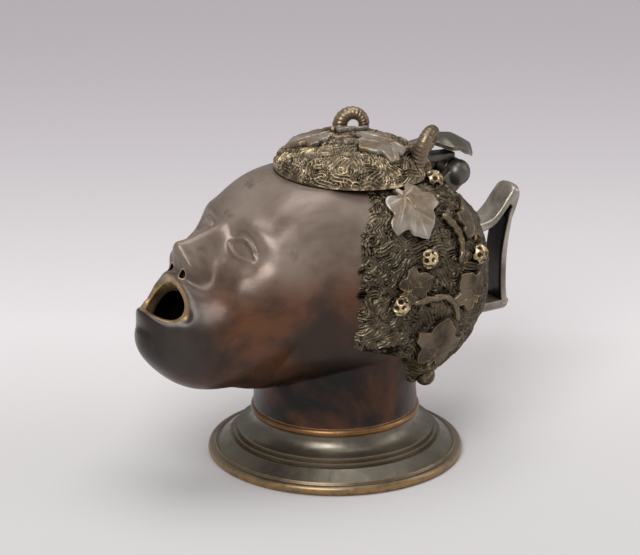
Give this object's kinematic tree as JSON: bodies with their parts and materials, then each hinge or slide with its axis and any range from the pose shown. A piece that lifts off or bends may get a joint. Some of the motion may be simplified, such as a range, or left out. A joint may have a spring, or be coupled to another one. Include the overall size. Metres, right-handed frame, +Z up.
{
  "type": "figural oil lamp",
  "caption": "Small cast bronze oil lamp shaped like a head thrown back, with an open wick mouth, a hinged crown lid with horns and leaves, a strap handle and a round foot.",
  "frame": {"origin": "centre of the foot's resting face", "axes": "+Z up, the face looks towards -X and upwards, the handle is at +X, the head's left side is at -Y"},
  "size_m": [0.1035, 0.06, 0.0805],
  "materials": {
    "foot_bronze": "dark olive bronze, satin, worn bright at the rim",
    "ring_brass": "worn copper-gold metal, satin",
    "skin_bronze": "smooth brown bronze with a lacquer sheen, red-brown at jaw and neck",
    "hair_bronze": "dark olive bronze, carved, worn golden on the crests",
    "leaf_bronze": "grey worn bronze, satin",
    "seed_brass": "worn golden bronze with dark pits",
    "vine_bronze": "dark olive bronze, worn golden along the top",
    "hinge_bronze": "dark grey bronze, satin",
    "handle_bronze": "dark grey-brown bronze with bright worn edges",
    "horn_brass": "worn pale bronze, ridged"
  },
  "bodies": {
    "lamp_body": {"foot": "foot_bronze", "neck_ring": "ring_brass", "head_shell": "skin_bronze", "hair_mass": "hair_bronze", "leaf_upper_left": "leaf_bronze", "leaf_side_left": "leaf_bronze", "leaf_lower_left": "leaf_bronze", "leaf_edge_left": "leaf_bronze", "leaf_rear_left": "leaf_bronze", "seed_head_left_1": "seed_brass", "seed_head_left_2": "seed_brass", "seed_head_left_3": "seed_brass", "seed_head_left_4": "seed_brass", "vine_rear_left": "vine_bronze", "vine_front_left": "vine_bronze", "nape_knob_left": "hair_bronze", "hinge_lug_left": "hinge_bronze", "leaf_upper_right": "leaf_bronze", "leaf_side_right": "leaf_bronze", "leaf_lower_right": "leaf_bronze", "leaf_edge_right": "leaf_bronze", "leaf_rear_right": "leaf_bronze", "seed_head_right_1": "seed_brass", "seed_head_right_2": "seed_brass", "seed_head_right_3": "seed_brass", "seed_head_right_4": "seed_brass", "vine_rear_right": "vine_bronze", "vine_front_right": "vine_bronze", "nape_knob_right": "hair_bronze", "hinge_lug_right": "hinge_bronze", "hinge_pin": "hinge_bronze", "handle_strap": "handle_bronze", "handle_bar": "handle_bronze", "handle_boss": "handle_bronze"},
    "lid": {"lid_plate": "hinge_bronze", "lid_hair": "hair_bronze", "lid_leaf_left": "leaf_bronze", "lid_leaf_right": "leaf_bronze", "lid_leaf_front": "leaf_bronze", "thumb_leaf": "hinge_bronze", "horn_left": "horn_brass", "horn_right": "horn_brass"}
  },
  "joints": [
    {"name": "lid_hinge", "type": "hinge", "parent": "lamp_body", "child": "lid", "pos_m": [0.03209, 0, 0.06448], "axis": [0, 1, 0], "range_deg": [0, 105]}
  ]
}
